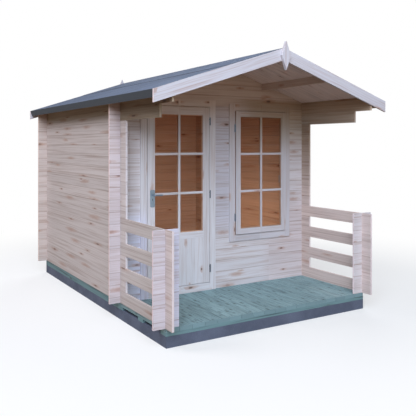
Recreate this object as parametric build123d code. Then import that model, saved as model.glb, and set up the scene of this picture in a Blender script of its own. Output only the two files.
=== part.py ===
from build123d import *
import os
from math import cos, radians, sin, tan

# A garden log cabin with a covered veranda, in millimetres.
# +Z is up, and the front, with the door and the window, faces -Y.
# The origin is at ground level, under the middle of the roof.

# Logs and their interlocking corners
log_height = 114.0
log_thickness = 19.0
log_chamfer = 2.0
log_joint_gap = 0.4
notch_depth_share = 0.25
notch_clearance = 0.2
log_overhang = 108.0
front_log_overhang = 128.0
wall_courses = 17
rail_courses = 7

# Plan of the cabin and the veranda
cabin_width = 2237.0
cabin_depth = 2393.0
veranda_depth = 915.0
rail_overhang = 117.0
spacer_tail = 100.0
corbel_reach = 815.0

# Plinth and floor
slab_inset = 6.5
slab_height = 95.0
slab_front_margin = 5.0
slab_back_margin = 30.0
bearer_height = 30.0
bearer_width = 100.0
joist_count = 3
deck_thickness = 35.0
deck_board_count = 18
deck_board_gap = 3.0

# Roof
roof_pitch = 18.2
eaves_overhang = 170.5
front_overhang = 1051.0
back_overhang = 152.0
eaves_rise = 15.0
roof_board_thickness = 18.0
felt_thickness = 3.0
felt_drop = 67.0
ridge_felt_reach = 590.0
fascia_width = 28.0
purlin_width = 44.0
purlin_height = 65.0
ridge_purlin_height = 80.0
purlin_place_share = 0.5
barge_width = 102.0
barge_thickness = 19.0
finial_width = 98.0
finial_height = 256.0
finial_thickness = 28.0
finial_drop = 70.0

# Frames round the door and the window
frame_face = 68.0
frame_proud = 16.0
frame_groove = 20.0
stop_overlap = 12.0

# Door
door_x = -492.0
door_courses = 17
door_leaf_width = 700.0
door_leaf_thickness = 36.0
door_gap = 5.0
door_threshold = 75.0
door_stile = 77.0
door_top_rail = 80.0
door_mid_rail = 66.0
door_bottom_rail = 90.0
door_panel_height = 464.0
door_panel_thickness = 12.0
door_panel_recess = 4.0
door_panel_boards = 6
door_panel_groove = 1.2

# Window
window_x = 508.0
window_sill_courses = 4
window_sill_rise = 12.0
window_head_drop = 27.0
window_frame_width = 806.0
sash_gap = 5.0
sash_member = 57.0
sash_thickness = 36.0
sash_proud = 16.0

# Glass, glazing bars and joinery fits
glass_thickness = 4.0
glass_inset = 8.0
bar_width = 24.0
bar_recess = 1.5
bar_chamfer = 2.5
pane_rows = 3
joinery_gap = 0.3
seat_gap = 0.2

# Barrel hinges
hinge_radius = 6.5
hinge_length = 80.0
hinge_standoff = 2.0
hinge_pin_radius = 3.5
hinge_pin_reach = 30.0
hinge_neck_width = 5.2
hinge_sides = 16
hinge_fit = 0.05
hinge_end_gap = 0.3
door_hinge_heights = [223.0, 979.0, 1723.0]
window_hinge_heights = [720.0, 1658.0]

# Door handle
plate_width = 50.0
plate_height = 168.0
plate_thickness = 4.0
plate_corner = 8.0
plate_edge_inset = 26.0
lever_height = 996.0
plate_drop = 116.0
lever_radius = 7.0
lever_sides = 8
lever_neck = 42.0
lever_length = 88.0
lever_bend = 15.0
spindle_radius = 4.5
spindle_fit = 0.05
spindle_room = 0.6
lever_plate_gap = 0.3

# Window catch
catch_height = 1140.0
catch_plate_width = 24.0
catch_plate_height = 70.0
catch_plate_thickness = 4.0
catch_neck_width = 12.0
catch_neck_length = 24.0
catch_grip_width = 14.0
catch_grip_length = 84.0
catch_grip_thickness = 12.0
catch_grip_corner = 4.0

# Room that a cutting shape reaches past the piece it cuts
cut_overrun = 10.0

# Levels and lines that the pieces share
half_width = cabin_width / 2
roof_length = front_overhang + cabin_depth + back_overhang
front_y = front_overhang - roof_length / 2
back_y = front_y + cabin_depth
post_y = front_y - veranda_depth
roof_front_y = -roof_length / 2 + barge_thickness
roof_back_y = roof_length / 2 - barge_thickness
slab_half = half_width - slab_inset
slab_front = post_y - slab_front_margin
slab_back = back_y + slab_back_margin
deck_under = slab_height + bearer_height
floor_z = deck_under + deck_thickness
quarter = log_height * notch_depth_share
gable_z = floor_z + (wall_courses - 1 / 2) * log_height
slope = tan(radians(roof_pitch))
stretch = 1 / cos(radians(roof_pitch))
eave_x = half_width + eaves_overhang
boards_rise = roof_board_thickness * stretch
felt_rise = felt_thickness * stretch
frame_front = front_y - frame_proud
frame_back = front_y + log_thickness + frame_proud


def roof_underside(x):
    """Height of the underside of the roof boards at a distance from the ridge line."""
    return floor_z + wall_courses * log_height + eaves_rise + (half_width - abs(x)) * slope


def roof_top(x):
    """Height of the top of the felt, flush with the top edge of the bargeboards."""
    return roof_underside(x) + boards_rise + felt_rise


def eave_point(inward, below):
    """A place by the square-cut right-hand eave, measured up the slope and square to it."""
    pitch = radians(roof_pitch)
    x = eave_x - inward * cos(pitch) - below * sin(pitch)
    return (x, roof_top(eave_x) + inward * sin(pitch) - below * cos(pitch))


def block(x_range, y_range, z_range):
    """A box between three pairs of limits."""
    low = [limits[0] for limits in (x_range, y_range, z_range)]
    size = [limits[1] - limits[0] for limits in (x_range, y_range, z_range)]
    return Pos(*low) * Box(*size, align=(Align.MIN, Align.MIN, Align.MIN))


def prism_x(points, x_start, x_end):
    """An outline of (y, z) points drawn out along X."""
    outline = Plane.YZ.offset(x_start) * Polygon(*points, align=None)
    return extrude(outline, amount=x_end - x_start, dir=(1, 0, 0))


def prism_y(points, y_start, y_end):
    """An outline of (x, z) points drawn out along Y."""
    outline = Plane.XZ.offset(-y_start) * Polygon(*points, align=None)
    return extrude(outline, amount=y_end - y_start, dir=(0, 1, 0))


def prism_z(points, z_start, z_end):
    """An outline of (x, y) points drawn out along Z."""
    outline = Plane.XY.offset(z_start) * Polygon(*points, align=None)
    return extrude(outline, amount=z_end - z_start, dir=(0, 0, 1))


def rod(start, direction, radius, length):
    """A round bar from a point along a direction."""
    return extrude(Plane(origin=start, z_dir=direction) * Circle(radius), amount=length)


def flat_sided_bar(start, direction, radius, sides, length):
    """A bar with flat sides from a point along a direction."""
    return extrude(Plane(origin=start, z_dir=direction) * RegularPolygon(radius, sides), amount=length)


def cut_corner_plate(width, height, corner):
    """A rectangle with its corners cut off."""
    half_x = width / 2
    half_y = height / 2
    return Polygon(
        (half_x - corner, -half_y), (half_x, corner - half_y), (half_x, half_y - corner),
        (half_x - corner, half_y), (corner - half_x, half_y), (-half_x, half_y - corner),
        (-half_x, corner - half_y), (corner - half_x, -half_y), align=None,
    )


def mirrored(solids):
    """The same pieces on the left-hand side."""
    return [solid.mirror(Plane.YZ) for solid in solids]


def log_outline(across, bottom, top):
    """Section of a log, with its upper edges chamfered to mark each joint between courses."""
    near = across
    far = across + log_thickness
    low = bottom + log_joint_gap / 2
    high = top - log_joint_gap / 2
    return [
        (near, low), (far, low), (far, high - log_chamfer),
        (far - log_chamfer, high), (near + log_chamfer, high), (near, high - log_chamfer),
    ]


def notch_levels(middle, bottom, top):
    """Height ranges cut away at a crossing, leaving the waist of a log."""
    waist = quarter - log_joint_gap / 2
    levels = []
    if middle - waist > bottom:
        levels.append((bottom - cut_overrun, middle - waist))
    if middle + waist < top:
        levels.append((middle + waist, top + cut_overrun))
    return levels


def crossing(start):
    """Room along a log for the log that crosses it."""
    return (start - notch_clearance, start + log_thickness + notch_clearance)


def notch_x(log, across, crossings, levels):
    """Notches in a log that runs along X."""
    across_range = (across - cut_overrun, across + log_thickness + cut_overrun)
    for start in crossings:
        for level in levels:
            log = log - block(crossing(start), across_range, level)
    return log


def notch_y(log, across, crossings, levels):
    """Notches in a log that runs along Y."""
    across_range = (across - cut_overrun, across + log_thickness + cut_overrun)
    for start in crossings:
        for level in levels:
            log = log - block(across_range, crossing(start), level)
    return log


def cross_log(x_range, y, row, row_count, crossings):
    """One log along X, half a course lower than the logs it crosses."""
    middle = floor_z + row * log_height
    bottom = max(floor_z, middle - log_height / 2)
    top = min(floor_z + row_count * log_height, middle + log_height / 2)
    log = prism_x(log_outline(y, bottom, top), *x_range)
    return notch_x(log, y, crossings, notch_levels(middle, bottom, top))


def side_log(course, y_range, crossings):
    """One log along Y in the right-hand side wall or balustrade."""
    across = half_width - log_thickness
    bottom = floor_z + course * log_height
    top = bottom + log_height
    log = prism_y(log_outline(across, bottom, top), *y_range)
    return notch_y(log, across, crossings, notch_levels((bottom + top) / 2, bottom, top))


def eaves_top_log(y_range, crossings):
    """The top log of the right-hand wall, planed to the slope of the roof."""
    across = half_width - log_thickness
    bottom = floor_z + (wall_courses - 1) * log_height
    outline = log_outline(across, bottom, bottom + log_height)
    inner_top = (across, roof_underside(across) - seat_gap)
    outer_top = (half_width, roof_underside(half_width) - seat_gap)
    outline[2:] = [outer_top, inner_top]
    log = prism_y(outline, *y_range)
    middle = bottom + log_height / 2
    return notch_y(log, across, crossings, notch_levels(middle, bottom, inner_top[1]))


def right_side_logs():
    """Wall logs, rails that run out to the post, and the two long eaves logs."""
    rear = back_y + log_overhang
    corners = [front_y, back_y - log_thickness]
    wall, rails, eaves = [], [], []
    for course in range(wall_courses - 1):
        if course < rail_courses and course % 2 == 0:
            rails.append(side_log(course, (post_y - rail_overhang, rear), corners + [post_y]))
        elif course == wall_courses - 2:
            eaves.append(side_log(course, (front_y - corbel_reach, rear), corners))
        else:
            wall.append(side_log(course, (front_y - front_log_overhang, rear), corners))
    roof_run = (roof_front_y + seat_gap, roof_back_y - seat_gap)
    eaves.append(eaves_top_log(roof_run, corners))
    return wall, rails, eaves


def right_post():
    """The post at the right-hand front corner: crossed short logs, and spacers between rails."""
    across = half_width - log_thickness
    reach = (across - log_overhang, half_width + log_overhang)
    cross = [
        cross_log(reach, post_y, row, rail_courses, [across])
        for row in range(rail_courses + 1)
    ]
    run = (post_y - rail_overhang, post_y + log_thickness + spacer_tail)
    spacers = [side_log(course, run, [post_y]) for course in range(1, rail_courses, 2)]
    return cross, spacers


def wall_logs(y):
    """The courses of the front or the back wall, up to the gable."""
    reach = (-half_width - log_overhang, half_width + log_overhang)
    corners = [-half_width, half_width - log_thickness]
    return [cross_log(reach, y, row, wall_courses, corners) for row in range(wall_courses)]


def frame_opening(x, width, bottom, top):
    """The cut through the wall for a frame that grips the log ends in its groove."""
    half = width / 2 - frame_groove
    y_range = (front_y - cut_overrun, front_y + log_thickness + cut_overrun)
    return block((x - half, x + half), y_range, (bottom, top - frame_groove))


def purlin_outline(x, height, clearance, top_lift):
    """Section of a purlin whose top follows the slope of the roof."""
    left = x - purlin_width / 2 - clearance
    right = x + purlin_width / 2 + clearance
    bottom = roof_underside(x) - height - clearance
    tops = [(spot, roof_underside(spot) + top_lift) for spot in (right, x, left)]
    return [(left, bottom), (right, bottom)] + tops


def purlin_places():
    """Distance from the ridge line and height of each purlin."""
    side_x = half_width * purlin_place_share
    return [(0, ridge_purlin_height), (-side_x, purlin_height), (side_x, purlin_height)]


def purlin(x, height):
    """A purlin from bargeboard to bargeboard."""
    outline = purlin_outline(x, height, 0, -seat_gap)
    return prism_y(outline, roof_front_y + seat_gap, roof_back_y - seat_gap)


def gable(y):
    """A gable panel over the top course, with chamfered joints, notched for purlins and eaves logs."""
    reach = half_width + log_overhang
    bottom = gable_z + log_joint_gap / 2
    seat = [(x, roof_underside(x) - seat_gap) for x in (reach, 0, -reach)]
    panel = prism_y([(-reach, bottom), (reach, bottom)] + seat, y, y + log_thickness)
    joint = gable_z
    while joint < roof_underside(0):
        for face, inward in ((y, 1), (y + log_thickness, -1)):
            outside = face - inward * log_chamfer
            groove = [
                (outside, joint - 2 * log_chamfer),
                (face + inward * log_chamfer, joint),
                (outside, joint),
            ]
            panel = panel - prism_x(groove, -reach - cut_overrun, reach + cut_overrun)
        joint += log_height
    for x, height in purlin_places():
        outline = purlin_outline(x, height, notch_clearance, cut_overrun)
        panel = panel - prism_y(outline, y - cut_overrun, y + log_thickness + cut_overrun)
    middle = gable_z + log_height / 2
    levels = notch_levels(middle, gable_z, middle)
    corners = [-half_width, half_width - log_thickness]
    return notch_x(panel, y, corners, levels)


def right_roof_boards():
    """The boarding of the right-hand slope, cut square at the eaves."""
    ridge = seat_gap / 2
    outline = [
        (ridge, roof_underside(ridge)),
        eave_point(felt_thickness, felt_thickness + roof_board_thickness),
        eave_point(felt_thickness, felt_thickness),
        (ridge, roof_underside(ridge) + boards_rise),
    ]
    return prism_y(outline, roof_front_y + seat_gap, roof_back_y - seat_gap)


def right_fascia():
    """The strip under the edge of the roof boards at the right-hand eaves, square to the slope."""
    inner = felt_thickness + fascia_width
    top = felt_thickness + roof_board_thickness + seat_gap
    outline = [
        eave_point(inner, felt_drop), eave_point(felt_thickness, felt_drop),
        eave_point(felt_thickness, top), eave_point(inner, top),
    ]
    return prism_y(outline, roof_front_y + seat_gap, roof_back_y - seat_gap)


def right_felt():
    """Roofing felt on the right-hand slope, turned down over the eaves."""
    ridge = seat_gap / 2
    outline = [
        (ridge, roof_top(ridge) - felt_rise), eave_point(felt_thickness, felt_thickness),
        eave_point(felt_thickness, felt_drop), eave_point(0, felt_drop), eave_point(0, 0),
        (ridge, roof_top(ridge)),
    ]
    return prism_y(outline, roof_front_y + seat_gap, roof_back_y - seat_gap)


def ridge_felt():
    """The strip of felt that laps both slopes over the ridge."""
    places = (-ridge_felt_reach, 0, ridge_felt_reach)
    under = [(x, roof_top(x)) for x in places]
    over = [(x, roof_top(x) + felt_rise) for x in reversed(places)]
    return prism_y(under + over, roof_front_y + seat_gap, roof_back_y - seat_gap)


def right_bargeboard(y_start):
    """A bargeboard with plumb cuts at the ridge and at the eaves."""
    depth = barge_width * stretch
    ridge = seat_gap / 2
    outline = [
        (ridge, roof_top(ridge) - depth), (eave_x, roof_top(eave_x) - depth),
        (eave_x, roof_top(eave_x)), (ridge, roof_top(ridge)),
    ]
    return prism_y(outline, y_start, y_start + barge_thickness)


def finial(y_start):
    """The lozenge that covers the joint of two bargeboards."""
    middle = roof_top(0) - finial_drop
    outline = [
        (0, middle - finial_height / 2), (finial_width / 2, middle),
        (0, middle + finial_height / 2), (-finial_width / 2, middle),
    ]
    return prism_y(outline, y_start, y_start + finial_thickness)


def frame_section(stop_start, stop_reach):
    """Section of a frame member as (into the opening, depth): faces, groove for logs, and stop."""
    outer = -frame_face
    groove_end = outer + frame_groove
    log_front = front_y - joinery_gap
    log_back = front_y + log_thickness + joinery_gap
    stop = [(0, stop_start), (stop_reach, stop_start), (stop_reach, frame_back)]
    if stop_reach == 0:
        stop = [(0, frame_back)]
    return [(outer, frame_front), (0, frame_front)] + stop + [
        (outer, frame_back), (outer, log_back), (groove_end + joinery_gap, log_back),
        (groove_end + joinery_gap, log_front), (outer, log_front),
    ]


def jambs(x, inner_width, section, bottom, top):
    """The two uprights of a frame."""
    uprights = []
    for side in (-1, 1):
        edge = x + side * inner_width / 2
        uprights.append(prism_z([(edge - side * into, y) for into, y in section], bottom, top))
    return uprights


def frame_rail(x, inner_width, section, level, upward):
    """A level member of a frame, grooved along its edge and at its ends for the logs."""
    half = inner_width / 2 + frame_face
    outline = [(y, level - upward * into) for into, y in section]
    rail = prism_x(outline, x - half, x + half)
    slot_y = (front_y - joinery_gap, front_y + log_thickness + joinery_gap)
    slot_z = (level - frame_face - cut_overrun, level + frame_face + cut_overrun)
    inner = half - frame_groove - joinery_gap
    for slot_x in ((x - half - cut_overrun, x - inner), (x + inner, x + half + cut_overrun)):
        rail = rail - block(slot_x, slot_y, slot_z)
    return rail


def frame_stop(x, inner_width, level, upward, stop_start, stop_reach):
    """The stop under a head, or over a sill, between the stops of the jambs."""
    half = inner_width / 2 - stop_reach - joinery_gap
    return block(
        (x - half, x + half),
        (stop_start, frame_back),
        sorted((level, level - upward * stop_reach)),
    )


def glazing_bars(x_range, z_range, front, thickness):
    """Bars on both faces of a sheet of glass: an upright with level bars butted against it."""
    middle = sum(x_range) / 2
    half = bar_width / 2
    row_height = (z_range[1] - z_range[0]) / pane_rows
    glass_front = front + glass_inset
    glass_back = glass_front + glass_thickness
    level_runs = (
        (x_range[0] + joinery_gap, middle - half - joinery_gap),
        (middle + half + joinery_gap, x_range[1] - joinery_gap),
    )
    bars = []
    for seat, face, outward in (
        (glass_front - seat_gap, front + bar_recess, -1),
        (glass_back + seat_gap, front + thickness - bar_recess, 1),
    ):
        shoulder = face - outward * bar_chamfer
        section = [
            (-half, seat), (half, seat), (half, shoulder), (half - bar_chamfer, face),
            (bar_chamfer - half, face), (-half, shoulder),
        ]
        upright = [(middle + across, depth) for across, depth in section]
        bars.append(prism_z(upright, z_range[0] + joinery_gap, z_range[1] - joinery_gap))
        for row in range(1, pane_rows):
            level = z_range[0] + row * row_height
            outline = [(depth, level + across) for across, depth in section]
            bars.extend(prism_x(outline, *run) for run in level_runs)
    return bars


door_inner_width = door_leaf_width + 2 * door_gap
door_frame_width = door_inner_width + 2 * frame_face
door_head = floor_z + door_courses * log_height - frame_face
leaf_bottom = floor_z + door_threshold + door_gap
leaf_top = door_head - door_gap
leaf_front = frame_front
leaf_back = leaf_front + door_leaf_thickness
glass_top = leaf_top - door_top_rail
glass_bottom = leaf_bottom + door_panel_height + door_mid_rail
leaf_left = door_x - door_leaf_width / 2
leaf_right = door_x + door_leaf_width / 2
opening_left = leaf_left + door_stile
opening_right = leaf_right - door_stile


def door_frame():
    """Threshold, two rebated jambs and the head."""
    stop_start = leaf_back + door_gap
    stop_reach = door_gap + stop_overlap
    section = frame_section(stop_start, stop_reach)
    uprights = jambs(door_x, door_inner_width, section, floor_z, door_head - joinery_gap)
    head = frame_rail(door_x, door_inner_width, frame_section(stop_start, 0), door_head, 1)
    stop = frame_stop(door_x, door_inner_width, door_head, 1, stop_start, stop_reach)
    sill_half = door_inner_width / 2 - joinery_gap
    threshold = block(
        (door_x - sill_half, door_x + sill_half),
        (frame_front, stop_start - joinery_gap),
        (floor_z, floor_z + door_threshold),
    )
    return uprights + [head + stop, threshold]


def door_leaf():
    """Stiles, rails and glazing bars, with the bottom rail behind the boarded panel."""
    depth = (leaf_front, leaf_back)
    between = (opening_left + joinery_gap, opening_right - joinery_gap)
    spindle_x = plate_centre_x()
    hole = rod((spindle_x, leaf_front - cut_overrun, floor_z + lever_height), (0, 1, 0),
               spindle_radius + spindle_room, door_leaf_thickness + 2 * cut_overrun)
    left_stile = block((leaf_left, opening_left), depth, (leaf_bottom, leaf_top)) - hole
    right_stile = block((opening_right, leaf_right), depth, (leaf_bottom, leaf_top))
    top_rail = block(between, depth, (glass_top, leaf_top))
    mid_rail = block(between, depth, (glass_bottom - door_mid_rail, glass_bottom))
    rail_front = leaf_front + door_panel_recess + door_panel_thickness + joinery_gap
    bottom_rail = block(between, (rail_front, leaf_back), (leaf_bottom, leaf_bottom + door_bottom_rail))
    bars = glazing_bars(
        (opening_left, opening_right), (glass_bottom, glass_top), leaf_front, door_leaf_thickness)
    return [left_stile, right_stile, top_rail, mid_rail, bottom_rail] + bars


def door_panel():
    """The upright boarding that fills the lower part of the leaf, with a V at each joint."""
    front = leaf_front + door_panel_recess
    outside = front - door_panel_groove
    top = glass_bottom - door_mid_rail
    left = opening_left + joinery_gap
    right = opening_right - joinery_gap
    panel = block((left, right), (front, front + door_panel_thickness), (leaf_bottom, top - joinery_gap))
    for board in range(1, door_panel_boards):
        joint = left + (right - left) * board / door_panel_boards
        groove = [
            (joint - 2 * door_panel_groove, outside),
            (joint, front + door_panel_groove),
            (joint + 2 * door_panel_groove, outside),
        ]
        panel = panel - prism_z(groove, leaf_bottom - cut_overrun, top + cut_overrun)
    return panel


def glass_sheet(x_range, z_range, front):
    """A sheet of glass close behind the outer face of a leaf or a sash."""
    start = front + glass_inset
    return block(
        (x_range[0] + joinery_gap, x_range[1] - joinery_gap),
        (start, start + glass_thickness),
        (z_range[0] + joinery_gap, z_range[1] - joinery_gap),
    )


hinge_x = leaf_right + door_gap / 2
hinge_y = frame_front - hinge_standoff - hinge_radius


def hinge_stub(x, z):
    """The neck that fixes half a barrel hinge to the wood behind it."""
    half = hinge_neck_width / 2
    return block((x - half, x + half), (hinge_y, frame_front - seat_gap), (z - half, z + half))


def hinge_half(z, length, side):
    """A plain barrel with its neck on the frame side or on the leaf side."""
    offset = side * (door_gap + hinge_neck_width) / 2
    barrel = flat_sided_bar((hinge_x, hinge_y, z), (0, 0, 1), hinge_radius, hinge_sides, length)
    return barrel + hinge_stub(hinge_x + offset, z + length / 2)


def door_hinge_pins():
    """The lower halves, fixed to the frame, each with its pin."""
    pieces = []
    for height in door_hinge_heights:
        middle = floor_z + height
        half = hinge_half(middle - hinge_length / 2, hinge_length / 2 - hinge_end_gap, 1)
        pin_start = (hinge_x, hinge_y, middle - hinge_end_gap)
        pieces.append(half + rod(pin_start, (0, 0, 1), hinge_pin_radius, hinge_pin_reach))
    return pieces


def door_hinge_barrels():
    """The upper halves, fixed to the leaf and turning on the pins."""
    pieces = []
    for height in door_hinge_heights:
        middle = floor_z + height
        half = hinge_half(middle, hinge_length / 2, -1)
        bore_start = (hinge_x, hinge_y, middle - cut_overrun)
        bore = rod(bore_start, (0, 0, 1), hinge_pin_radius + hinge_fit, hinge_pin_reach + cut_overrun)
        pieces.append(half - bore)
    return pieces


def plate_centre_x():
    """The line of the door handle on the left-hand stile."""
    return opening_left - plate_edge_inset


def handle_plates():
    """The long plates on both faces of the stile, bored for the spindle."""
    middle_z = floor_z + lever_height - plate_drop + plate_height / 2
    sketch = cut_corner_plate(plate_width, plate_height, plate_corner)
    plates = []
    for face, outward in ((leaf_front, -1), (leaf_back, 1)):
        seat = face + outward * seat_gap
        place = Plane(origin=(plate_centre_x(), seat, middle_z), x_dir=(1, 0, 0), z_dir=(0, outward, 0))
        plate = extrude(place * sketch, amount=plate_thickness)
        bore_start = (plate_centre_x(), seat - cut_overrun, floor_z + lever_height)
        plates.append(plate - rod(bore_start, (0, 1, 0), spindle_radius + spindle_fit, 2 * cut_overrun))
    return plates


def lever(face, outward):
    """One bent lever that starts clear of its plate and points towards the hinges."""
    start_y = face + outward * (seat_gap + plate_thickness + lever_plate_gap)
    reach_y = start_y + outward * lever_neck
    x = plate_centre_x()
    z = floor_z + lever_height
    path = FilletPolyline((x, start_y, z), (x, reach_y, z), (x + lever_length, reach_y, z), radius=lever_bend)
    section = Plane(origin=path @ 0, z_dir=path % 0) * RegularPolygon(lever_radius, lever_sides)
    return sweep(section, path=path)


def door_levers():
    """Both levers on one spindle."""
    gap = seat_gap + plate_thickness + lever_plate_gap
    start = (plate_centre_x(), leaf_front - gap, floor_z + lever_height)
    spindle = rod(start, (0, 1, 0), spindle_radius, door_leaf_thickness + 2 * gap)
    return lever(leaf_front, -1) + spindle + lever(leaf_back, 1)


window_bottom = floor_z + window_sill_courses * log_height + window_sill_rise
window_top = floor_z + door_courses * log_height - window_head_drop
window_inner_width = window_frame_width - 2 * frame_face
sash_left = window_x - window_inner_width / 2 + sash_gap
sash_right = window_x + window_inner_width / 2 - sash_gap
sash_bottom = window_bottom + frame_face + sash_gap
sash_top = window_top - frame_face - sash_gap
sash_front = frame_front - sash_proud
sash_back = sash_front + sash_thickness
sash_glass_x = (sash_left + sash_member, sash_right - sash_member)
sash_glass_z = (sash_bottom + sash_member, sash_top - sash_member)


def window_frame():
    """Two rebated jambs between a head and a sill."""
    stop_start = sash_back + joinery_gap
    stop_reach = sash_gap + stop_overlap
    section = frame_section(stop_start, stop_reach)
    plain = frame_section(stop_start, 0)
    low = window_bottom + frame_face
    high = window_top - frame_face
    uprights = jambs(window_x, window_inner_width, section, low + joinery_gap, high - joinery_gap)
    members = []
    for level, upward in ((high, 1), (low, -1)):
        rail = frame_rail(window_x, window_inner_width, plain, level, upward)
        stop = frame_stop(window_x, window_inner_width, level, upward, stop_start, stop_reach)
        members.append(rail + stop)
    return uprights + members


def window_sash():
    """Stiles, rails and glazing bars of the sash, which stands proud of its frame."""
    depth = (sash_front, sash_back)
    between = (sash_left + sash_member + joinery_gap, sash_right - sash_member - joinery_gap)
    members = [
        block((sash_left, sash_left + sash_member), depth, (sash_bottom, sash_top)),
        block((sash_right - sash_member, sash_right), depth, (sash_bottom, sash_top)),
        block(between, depth, (sash_bottom, sash_bottom + sash_member)),
        block(between, depth, (sash_top - sash_member, sash_top)),
    ]
    return members + glazing_bars(sash_glass_x, sash_glass_z, sash_front, sash_thickness)


def window_hinges():
    """Barrel hinges beside the left-hand edge of the sash, with a neck to the frame and to the sash."""
    x = sash_left - hinge_standoff - hinge_radius
    half_neck = hinge_neck_width / 2
    pieces = []
    for height in window_hinge_heights:
        low = floor_z + height - hinge_length / 2
        barrel = flat_sided_bar((x, hinge_y, low), (0, 0, 1), hinge_radius, hinge_sides, hinge_length)
        frame_neck = hinge_stub(x, low + hinge_length / 4)
        sash_neck_z = low + hinge_length * 3 / 4
        sash_neck = block(
            (x, sash_left - seat_gap),
            (hinge_y - half_neck, hinge_y + half_neck),
            (sash_neck_z - half_neck, sash_neck_z + half_neck),
        )
        pieces.append(barrel + frame_neck + sash_neck)
    return pieces


def window_catch():
    """The turning catch on the inner face of the right-hand stile."""
    x = sash_right - sash_member / 2
    z = floor_z + catch_height
    face = sash_back + seat_gap
    plate_range = (x - catch_plate_width / 2, x + catch_plate_width / 2)
    plate = block(
        plate_range,
        (face, face + catch_plate_thickness),
        (z - catch_plate_height / 2, z + catch_plate_height / 2),
    )
    grip_start = face + catch_plate_thickness + catch_neck_length
    half_neck = catch_neck_width / 2
    neck = block((x - half_neck, x + half_neck), (face, grip_start), (z - half_neck, z + half_neck))
    middle_z = z + catch_grip_width / 2 - catch_grip_length / 2
    place = Plane(origin=(x, grip_start, middle_z), x_dir=(1, 0, 0), z_dir=(0, -1, 0))
    outline = cut_corner_plate(catch_grip_width, catch_grip_length, catch_grip_corner)
    grip = extrude(place * outline, amount=-catch_grip_thickness)
    return plate + neck + grip


def cut_solids(solids, cuts):
    """Solids that are left when every cut is taken from every piece."""
    left = []
    for solid in solids:
        for cut in cuts:
            solid = solid - cut
        left.extend(solid.solids())
    return left


def floor_pieces():
    """Plinth, bearers, joists, sill beams, cabin floor and veranda deck."""
    slab_x = (-slab_half, slab_half)
    bearer_z = (slab_height, deck_under)
    deck_z = (deck_under, floor_z)
    wall_bearer = front_y + log_thickness / 2 - bearer_width / 2
    middle_bearer = (slab_front + wall_bearer) / 2
    bearer_starts = (slab_front, middle_bearer, wall_bearer)
    side_start = wall_bearer + bearer_width
    inner_half = slab_half - bearer_width
    joist_step = (slab_back - side_start) / (joist_count + 1)
    joist_starts = [side_start + joist_step * (place + 1) - bearer_width / 2 for place in range(joist_count)]
    front_beam = (front_y, front_y + bearer_width)
    back_beam = (slab_back - bearer_width, slab_back)
    sides = ((-slab_half, -inner_half), (inner_half, slab_half))
    inside = (-inner_half, inner_half)
    inside_clear = (-inner_half + joinery_gap, inner_half - joinery_gap)
    board_pitch = (2 * slab_half + deck_board_gap) / deck_board_count
    board_starts = [-slab_half + board_pitch * board for board in range(deck_board_count)]
    board_width = board_pitch - deck_board_gap
    return {
        "base_slab": [block(slab_x, (slab_front, slab_back), (0, slab_height))],
        "cross_bearers": [block(slab_x, (y, y + bearer_width), bearer_z) for y in bearer_starts],
        "side_bearers": [block(x_range, (side_start, slab_back), bearer_z) for x_range in sides],
        "floor_joists": [block(inside, (y, y + bearer_width), bearer_z) for y in joist_starts],
        "sill_beams": [
            block(sides[0], (front_y, slab_back), deck_z),
            block(sides[1], (front_y, slab_back), deck_z),
            block(inside_clear, front_beam, deck_z),
            block(inside_clear, back_beam, deck_z),
        ],
        "cabin_floor": [block(inside_clear, (front_beam[1], back_beam[0]), deck_z)],
        "veranda_deck": [block((x, x + board_width), (slab_front, front_y), deck_z) for x in board_starts],
    }


def wall_pieces():
    """Walls, balustrades, posts and gables."""
    door_cut = frame_opening(
        door_x, door_frame_width, floor_z - cut_overrun, door_head + frame_face)
    window_cut = frame_opening(
        window_x, window_frame_width, window_bottom + frame_groove, window_top)
    wall, rails, eaves = right_side_logs()
    post, spacers = right_post()
    return {
        "left_wall_logs": mirrored(wall),
        "right_wall_logs": wall,
        "left_rail_logs": mirrored(rails),
        "right_rail_logs": rails,
        "left_eaves_logs": mirrored(eaves),
        "right_eaves_logs": eaves,
        "left_post_logs": mirrored(post),
        "right_post_logs": post,
        "post_spacers": mirrored(spacers) + spacers,
        "front_wall_logs": cut_solids(wall_logs(front_y), [door_cut, window_cut]),
        "back_wall_logs": wall_logs(back_y - log_thickness),
        "front_gable": cut_solids([gable(front_y)], [door_cut, window_cut]),
        "back_gable": [gable(back_y - log_thickness)],
    }


def roof_pieces():
    """Purlins, boards, felt, fascias, bargeboards and finials."""
    ridge, left_side, right_side = [purlin(x, height) for x, height in purlin_places()]
    front_barge = right_bargeboard(-roof_length / 2)
    back_barge = right_bargeboard(roof_back_y)
    boards = right_roof_boards()
    fascia = right_fascia()
    felt = right_felt()
    return {
        "ridge_purlin": [ridge],
        "side_purlins": [left_side, right_side],
        "left_roof_boards": mirrored([boards]),
        "right_roof_boards": [boards],
        "eaves_fascias": mirrored([fascia]) + [fascia],
        "left_roof_felt": mirrored([felt]),
        "right_roof_felt": [felt],
        "ridge_felt": [ridge_felt()],
        "front_bargeboards": mirrored([front_barge]) + [front_barge],
        "back_bargeboards": mirrored([back_barge]) + [back_barge],
        "front_finial": [finial(-roof_length / 2 - finial_thickness)],
        "back_finial": [finial(roof_length / 2)],
    }


def door_and_window_pieces():
    """Frames, leaf, sash, glass and their ironwork."""
    return {
        "door_frame": door_frame(),
        "door_leaf": door_leaf(),
        "door_panel": [door_panel()],
        "door_glass": [
            glass_sheet((opening_left, opening_right), (glass_bottom, glass_top), leaf_front)
        ],
        "door_hinge_pins": door_hinge_pins(),
        "door_hinge_barrels": door_hinge_barrels(),
        "door_handle_plates": handle_plates(),
        "door_levers": [door_levers()],
        "window_frame": window_frame(),
        "window_sash": window_sash(),
        "window_glass": [glass_sheet(sash_glass_x, sash_glass_z, sash_front)],
        "window_hinges": window_hinges(),
        "window_catch": [window_catch()],
    }


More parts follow.
